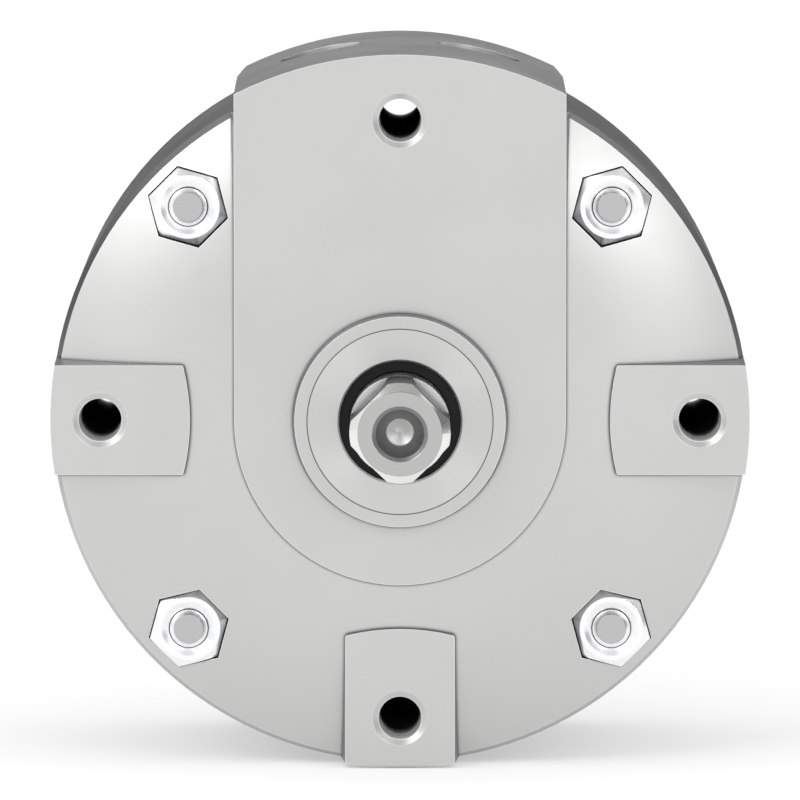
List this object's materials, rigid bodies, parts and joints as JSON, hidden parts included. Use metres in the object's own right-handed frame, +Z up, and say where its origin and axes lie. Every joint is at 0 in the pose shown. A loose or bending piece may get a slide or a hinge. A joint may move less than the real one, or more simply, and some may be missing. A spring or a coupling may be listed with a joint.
{
  "type": "pneumatic rotary actuator",
  "caption": "Round cast vane type swivel drive with a square rear shaft end, flat lugs with tapped holes, a port block on top and a round output shaft in front.",
  "frame": {"origin": "on the shaft axis, in the plane of the rear mounting pads, at the centre of the rear hole circle", "axes": "+Y along the shaft from the square rear end to the round output end, +Z up through the port block, +X to the right when looking along +Y"},
  "size_m": [0.07, 0.0815, 0.0716],
  "materials": {
    "cast_aluminium": "fine bead blasted die casting, clear coated",
    "turned_aluminium": "turned",
    "zinc_steel": "bright zinc plated",
    "plated_steel": "nickel plated, ground",
    "ground_steel": "ground",
    "bearing_steel": "hardened and polished",
    "cage_plastic": "natural glass filled nylon",
    "bearing_bronze": "sintered bronze with a dark sliding layer",
    "vane_plastic": "fibre filled moulding",
    "seal_polyurethane": "satin polyurethane",
    "black_rubber": "nitrile rubber"
  },
  "bodies": {
    "housing": {"rear_housing": "cast_aluminium", "front_housing": "cast_aluminium", "joint_seal": "black_rubber", "housing_dowels": "ground_steel", "tie_bolts": "zinc_steel", "hex_nuts": "zinc_steel", "rear_cap_ring": "turned_aluminium", "front_cap_ring": "turned_aluminium", "rear_shaft_seal": "black_rubber", "front_shaft_seal": "black_rubber", "rear_needle_cup": "bearing_steel", "front_needle_cup": "bearing_steel", "rear_thrust_washer": "bearing_bronze", "front_thrust_washer": "bearing_bronze", "stator_shoe": "turned_aluminium", "shoe_seal": "black_rubber", "shoe_pins": "ground_steel", "stop_pads": "seal_polyurethane"},
    "shaft": {"drive_shaft": "plated_steel", "vane": "vane_plastic", "vane_seal": "seal_polyurethane", "vane_pins": "ground_steel"},
    "rear_needle_set": {"rear_needles": "bearing_steel", "rear_needle_cage": "cage_plastic"},
    "front_needle_set": {"front_needles": "bearing_steel", "front_needle_cage": "cage_plastic"}
  },
  "joints": [
    {"name": "shaft_swivel", "type": "hinge", "parent": "housing", "child": "shaft", "pos_m": [0, 0, 0], "axis": [0, 1, 0], "range_deg": [-135, 135]},
    {"name": "rear_needles_roll", "type": "hinge", "parent": "housing", "child": "rear_needle_set", "pos_m": [0, 0.007, 0], "axis": [0, 1, 0], "range_deg": [-60, 60]},
    {"name": "front_needles_roll", "type": "hinge", "parent": "housing", "child": "front_needle_set", "pos_m": [0, 0.039, 0], "axis": [0, 1, 0], "range_deg": [-60, 60]}
  ],
  "couplings": [
    {"joint": "rear_needles_roll", "follows": "shaft_swivel", "ratio": 0.4386},
    {"joint": "front_needles_roll", "follows": "shaft_swivel", "ratio": 0.4386}
  ]
}
